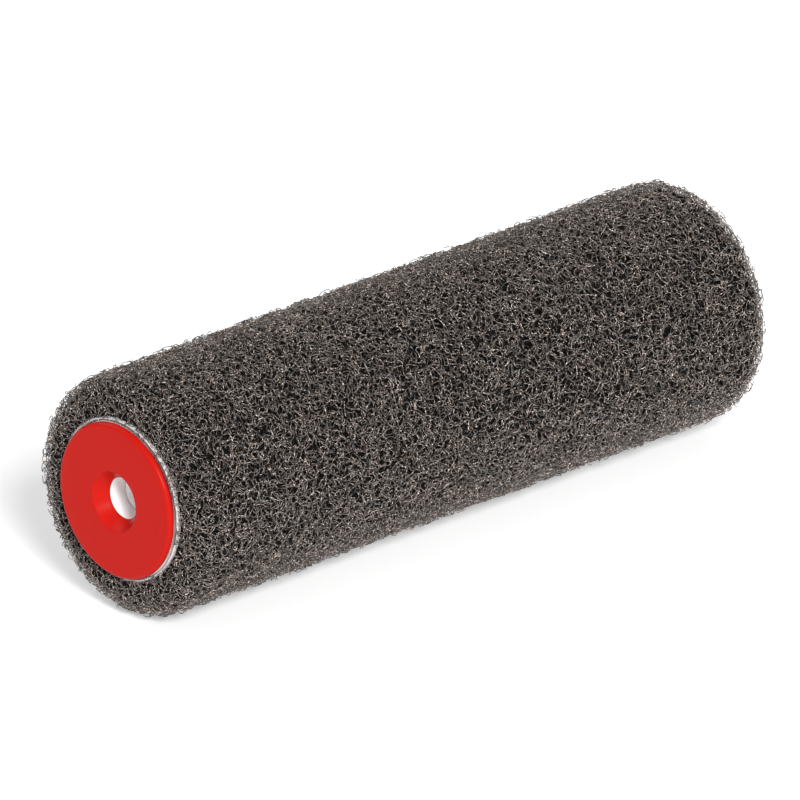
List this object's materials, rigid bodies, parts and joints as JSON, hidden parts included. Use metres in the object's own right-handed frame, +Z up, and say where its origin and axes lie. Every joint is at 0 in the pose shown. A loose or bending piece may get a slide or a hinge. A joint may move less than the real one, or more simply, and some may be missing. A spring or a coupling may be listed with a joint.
{
  "type": "paint roller sleeve",
  "caption": "Refill sleeve for a paint roller: a core tube with a curly looped nylon cover, press-in caps with central holes, and an inner axle tube it spins on.",
  "frame": {"origin": "centre of the sleeve, on its axis", "axes": "+Y along the roller's axis, towards the far end cap; +Z up with the sleeve lying on its side"},
  "size_m": [0.0742, 0.233, 0.0742],
  "materials": {
    "white_plastic": "satin moulded polypropylene",
    "white_fabric": "fuzzy woven backing",
    "grey_loops": "glossy crimped nylon monofilament in a springy web of loops",
    "red_plastic": "satin moulded polypropylene"
  },
  "bodies": {
    "axle": {"axle_tube": "white_plastic", "rod_guide_near": "white_plastic", "rod_guide_far": "white_plastic"},
    "sleeve": {"core_tube": "white_plastic", "backing_fabric": "white_fabric", "loop_cover": "grey_loops", "end_cap_near": "red_plastic", "end_cap_far": "red_plastic"}
  },
  "joints": [
    {"name": "sleeve_spin", "type": "hinge", "parent": "axle", "child": "sleeve", "pos_m": [0, 0, 0], "axis": [0, 1, 0], "continuous": true}
  ]
}
